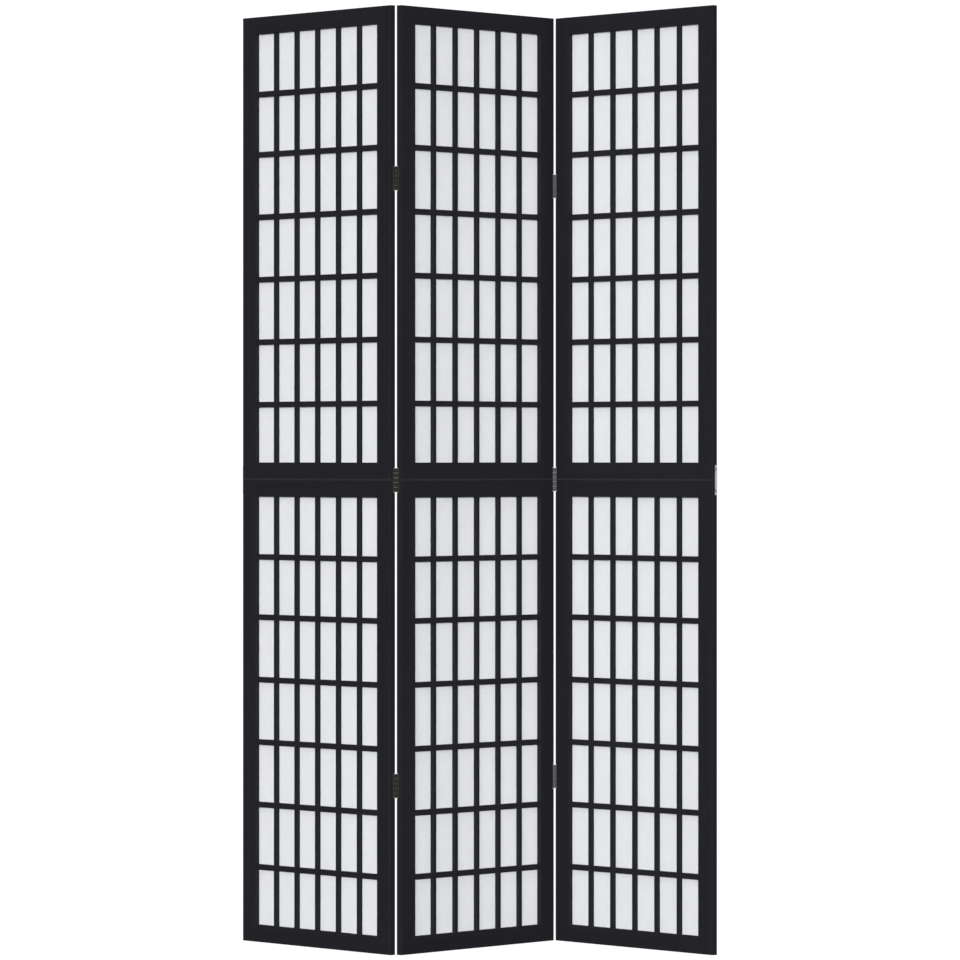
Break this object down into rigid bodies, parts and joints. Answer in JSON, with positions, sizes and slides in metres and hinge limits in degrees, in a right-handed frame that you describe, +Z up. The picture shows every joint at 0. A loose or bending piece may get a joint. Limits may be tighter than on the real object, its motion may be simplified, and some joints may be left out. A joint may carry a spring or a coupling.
{
  "type": "folding screen",
  "caption": "Free-standing zigzag folding screen: hinged black frames with a rectangular lattice over white translucent sheets.",
  "frame": {"origin": "on the floor under the middle of the middle panel, which is the bottom centre of the whole box at rest", "axes": "+Z up, +X across the screen to the right as seen from the lattice side, +Y from the lattice side to the back"},
  "size_m": [0.8616, 0.2983, 1.7],
  "materials": {
    "frame_wood": "black stain, low satin lacquer",
    "lattice_wood": "black stain, low satin lacquer",
    "bead_wood": "black stain, low satin lacquer",
    "dowel_wood": "bare beech",
    "sheet": "white translucent non-woven with fine fibres",
    "hinge_steel": "dull plated steel, darkened leaves and rubbed knuckles",
    "pin_steel": "dull plated steel",
    "plate_steel": "bright plated steel",
    "screw_steel": "dull plated steel"
  },
  "bodies": {
    "middle_panel": {"left_fold_leaves_on_middle": "hinge_steel", "middle_panel_beads": "bead_wood", "middle_panel_dowels": "dowel_wood", "middle_panel_lower_bottom_rail": "frame_wood", "middle_panel_lower_horizontal_bars": "lattice_wood", "middle_panel_lower_left_stile": "frame_wood", "middle_panel_lower_right_stile": "frame_wood", "middle_panel_lower_sheet": "sheet", "middle_panel_lower_top_rail": "frame_wood", "middle_panel_lower_vertical_bars": "lattice_wood", "middle_panel_screws": "screw_steel", "middle_panel_upper_bottom_rail": "frame_wood", "middle_panel_upper_horizontal_bars": "lattice_wood", "middle_panel_upper_left_stile": "frame_wood", "middle_panel_upper_right_stile": "frame_wood", "middle_panel_upper_sheet": "sheet", "middle_panel_upper_top_rail": "frame_wood", "middle_panel_upper_vertical_bars": "lattice_wood", "right_fold_leaves_on_middle": "hinge_steel", "right_fold_pins": "pin_steel"},
    "left_panel": {"left_fold_leaves_on_left": "hinge_steel", "left_fold_pins": "pin_steel", "left_joining_plate": "plate_steel", "left_panel_beads": "bead_wood", "left_panel_dowels": "dowel_wood", "left_panel_lower_bottom_rail": "frame_wood", "left_panel_lower_horizontal_bars": "lattice_wood", "left_panel_lower_left_stile": "frame_wood", "left_panel_lower_right_stile": "frame_wood", "left_panel_lower_sheet": "sheet", "left_panel_lower_top_rail": "frame_wood", "left_panel_lower_vertical_bars": "lattice_wood", "left_panel_screws": "screw_steel", "left_panel_upper_bottom_rail": "frame_wood", "left_panel_upper_horizontal_bars": "lattice_wood", "left_panel_upper_left_stile": "frame_wood", "left_panel_upper_right_stile": "frame_wood", "left_panel_upper_sheet": "sheet", "left_panel_upper_top_rail": "frame_wood", "left_panel_upper_vertical_bars": "lattice_wood"},
    "right_panel": {"right_fold_leaves_on_right": "hinge_steel", "right_joining_plate": "plate_steel", "right_panel_beads": "bead_wood", "right_panel_dowels": "dowel_wood", "right_panel_lower_bottom_rail": "frame_wood", "right_panel_lower_horizontal_bars": "lattice_wood", "right_panel_lower_left_stile": "frame_wood", "right_panel_lower_right_stile": "frame_wood", "right_panel_lower_sheet": "sheet", "right_panel_lower_top_rail": "frame_wood", "right_panel_lower_vertical_bars": "lattice_wood", "right_panel_screws": "screw_steel", "right_panel_upper_bottom_rail": "frame_wood", "right_panel_upper_horizontal_bars": "lattice_wood", "right_panel_upper_left_stile": "frame_wood", "right_panel_upper_right_stile": "frame_wood", "right_panel_upper_sheet": "sheet", "right_panel_upper_top_rail": "frame_wood", "right_panel_upper_vertical_bars": "lattice_wood"}
  },
  "joints": [
    {"name": "left_fold", "type": "hinge", "parent": "middle_panel", "child": "left_panel", "pos_m": [-0.1441, -0.14117, 0.85], "axis": [0, 0, 1], "range_deg": [-87.2, 92.8]},
    {"name": "right_fold", "type": "hinge", "parent": "middle_panel", "child": "right_panel", "pos_m": [0.1441, 0.14117, 0.85], "axis": [0, 0, 1], "range_deg": [-87.2, 92.8]}
  ]
}
